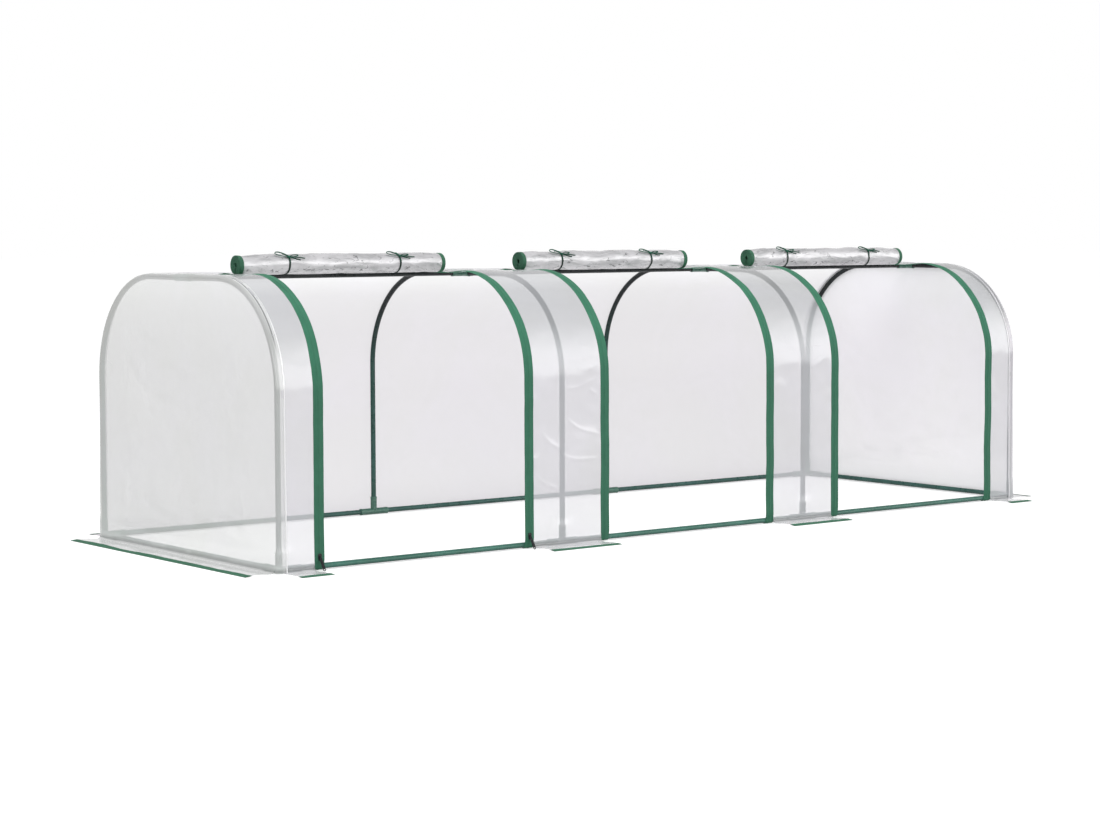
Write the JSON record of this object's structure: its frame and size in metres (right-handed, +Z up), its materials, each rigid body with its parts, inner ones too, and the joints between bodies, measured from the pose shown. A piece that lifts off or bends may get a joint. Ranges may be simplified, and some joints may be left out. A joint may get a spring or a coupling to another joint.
{
  "type": "tunnel greenhouse",
  "caption": "Low tunnel greenhouse: arched steel tube hoops in push-fit connectors under a clear film cover with ground skirts, zip bands and front doors rolled up on the roof.",
  "frame": {"origin": "on the ground, under the middle of the tunnel", "axes": "+X along the tunnel, -Y towards the doors, +Z up"},
  "size_m": [3.1846, 1.2246, 0.8793],
  "materials": {
    "steel_tube": "dark green powder coat, satin",
    "connector": "moulded dark green plastic",
    "clear_film": "clear flexible film, slightly hazy and creased",
    "rolled_film": "the same film in many turns, silver grey and crinkled",
    "green_tape": "woven green zip and binding tape",
    "zip_metal": "black enamel"
  },
  "bodies": {
    "frame": {"base_rail_front_1": "steel_tube", "base_rail_front_2": "steel_tube", "base_rail_front_3": "steel_tube", "base_rail_rear_1": "steel_tube", "base_rail_rear_2": "steel_tube", "base_rail_rear_3": "steel_tube", "base_rail_left": "steel_tube", "base_rail_right": "steel_tube", "ridge_tube_1": "steel_tube", "ridge_tube_2": "steel_tube", "ridge_tube_3": "steel_tube", "half_hoop_front_1": "steel_tube", "half_hoop_front_2": "steel_tube", "half_hoop_front_3": "steel_tube", "half_hoop_front_4": "steel_tube", "half_hoop_rear_1": "steel_tube", "half_hoop_rear_2": "steel_tube", "half_hoop_rear_3": "steel_tube", "half_hoop_rear_4": "steel_tube", "corner_front_left": "connector", "corner_front_right": "connector", "corner_rear_left": "connector", "corner_rear_right": "connector", "base_tee_front_2": "connector", "base_tee_front_3": "connector", "base_tee_rear_2": "connector", "base_tee_rear_3": "connector", "crown_tee_left": "connector", "crown_tee_right": "connector", "crown_cross_2": "connector", "crown_cross_3": "connector", "end_film_left": "clear_film", "end_film_right": "clear_film", "rear_film": "clear_film", "front_film_1": "clear_film", "front_film_2": "clear_film", "front_film_3": "clear_film", "front_film_4": "clear_film", "zip_band_1_left": "green_tape", "zip_band_1_right": "green_tape", "zip_band_2_left": "green_tape", "zip_band_2_right": "green_tape", "zip_band_3_left": "green_tape", "zip_band_3_right": "green_tape"},
    "door_1": {"door_roll_1": "rolled_film", "door_tie_1_left": "green_tape", "door_tie_1_right": "green_tape"},
    "door_2": {"door_roll_2": "rolled_film", "door_tie_2_left": "green_tape", "door_tie_2_right": "green_tape"},
    "door_3": {"door_roll_3": "rolled_film", "door_tie_3_left": "green_tape", "door_tie_3_right": "green_tape"},
    "slider_left": {"zip_slider_left": "zip_metal"},
    "slider_right": {"zip_slider_right": "zip_metal"},
    "pull_left": {"zip_pull_left": "zip_metal"},
    "pull_right": {"zip_pull_right": "zip_metal"}
  },
  "joints": [
    {"name": "door_1_turn_over", "type": "hinge", "parent": "frame", "child": "door_1", "pos_m": [-1.00065, -0.008, 0.8136], "axis": [-1, 0, 0], "range_deg": [0, 136]},
    {"name": "door_2_turn_over", "type": "hinge", "parent": "frame", "child": "door_2", "pos_m": [-0.004, -0.008, 0.8136], "axis": [-1, 0, 0], "range_deg": [0, 136]},
    {"name": "door_3_turn_over", "type": "hinge", "parent": "frame", "child": "door_3", "pos_m": [0.98065, -0.008, 0.8136], "axis": [-1, 0, 0], "range_deg": [0, 136]},
    {"name": "slider_left_run", "type": "slide", "parent": "frame", "child": "slider_left", "axis": [0, 0, 1], "range_m": [0, 0.445]},
    {"name": "slider_right_run", "type": "slide", "parent": "frame", "child": "slider_right", "axis": [0, 0, 1], "range_m": [0, 0.445]},
    {"name": "pull_left_swing", "type": "hinge", "parent": "slider_left", "child": "pull_left", "pos_m": [-1.356, -0.5156, 0.03716], "axis": [-1, 0, 0], "range_deg": [0, 130]},
    {"name": "pull_right_swing", "type": "hinge", "parent": "slider_right", "child": "pull_right", "pos_m": [-0.6253, -0.5156, 0.03716], "axis": [-1, 0, 0], "range_deg": [0, 130]}
  ]
}
